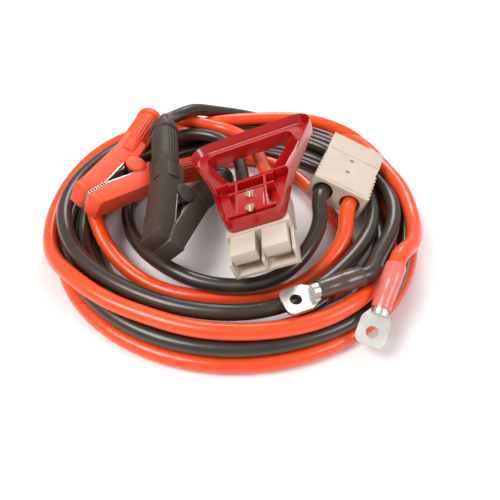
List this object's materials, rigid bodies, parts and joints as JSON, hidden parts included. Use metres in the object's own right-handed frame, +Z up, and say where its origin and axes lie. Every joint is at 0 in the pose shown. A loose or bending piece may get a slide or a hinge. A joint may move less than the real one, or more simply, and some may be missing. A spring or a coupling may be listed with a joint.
{
  "type": "car jumper cable",
  "caption": "Coiled plug-together jumper cable: clamp lead with pull handle on its two-pole plug, and battery lead with ring lugs.",
  "frame": {"origin": "centre of the coil, on the floor it lies on", "axes": "+Z up out of the coil; -Y towards the mating end of the clamp lead's connector, where the pull handle is seen from; +X towards the battery lead's connector"},
  "size_m": [0.362, 0.3584, 0.0988],
  "materials": {
    "red_cable": "gloss",
    "black_cable": "gloss",
    "red_cover": "satin",
    "black_cover": "satin",
    "grey_housing": "satin",
    "red_handle": "gloss",
    "tinned": "satin",
    "steel": "satin",
    "screw": "satin",
    "red_sleeve": "gloss",
    "black_sleeve": "gloss"
  },
  "bodies": {
    "kit": {"battery_plug_housing": "grey_housing", "clamp_plug_housing": "grey_housing", "battery_plug_contact_black": "tinned", "battery_plug_contact_red": "tinned", "clamp_plug_contact_black": "tinned", "clamp_plug_contact_red": "tinned", "lug_black": "tinned", "lug_red": "tinned", "pull_handle": "red_handle", "handle_screw_front": "screw", "handle_screw_rear": "screw", "heat_shrink_red": "red_sleeve", "heat_shrink_black": "black_sleeve", "red_clamp_cable_half_cover": "red_cover", "red_clamp_cable_half_jaw": "steel", "red_clamp_pivot_pin": "steel", "red_clamp_spring": "steel", "black_clamp_cable_half_cover": "black_cover", "black_clamp_free_half_cover": "black_cover", "black_clamp_cable_half_jaw": "steel", "black_clamp_free_half_jaw": "steel", "black_clamp_pivot_pin": "steel", "black_clamp_spring": "steel", "clamp_black_turn_outer": "black_cable", "battery_black_turn": "black_cable", "clamp_black_turn_inner": "black_cable", "battery_black_to_plug": "black_cable", "battery_black_to_lug": "black_cable", "clamp_black_to_plug": "black_cable", "clamp_black_to_clamp": "black_cable", "clamp_black_top_turn": "black_cable", "battery_red_turn": "red_cable", "clamp_red_turn": "red_cable", "battery_red_to_plug": "red_cable", "battery_red_to_lug": "red_cable", "clamp_red_to_plug": "red_cable", "clamp_red_to_clamp": "red_cable", "clamp_red_top_turn": "red_cable"},
    "red_clamp_free_half": {"red_clamp_free_half_cover": "red_cover", "red_clamp_free_half_jaw": "steel"}
  },
  "joints": [
    {"name": "red_clamp_open", "type": "hinge", "parent": "kit", "child": "red_clamp_free_half", "pos_m": [-0.1048, 0.0222, 0.048], "axis": [-0.4555, 0.0586, -0.8883], "range_deg": [0, 28], "stiffness_Nm_per_rad": 1.5, "springref_deg": -34.38}
  ]
}
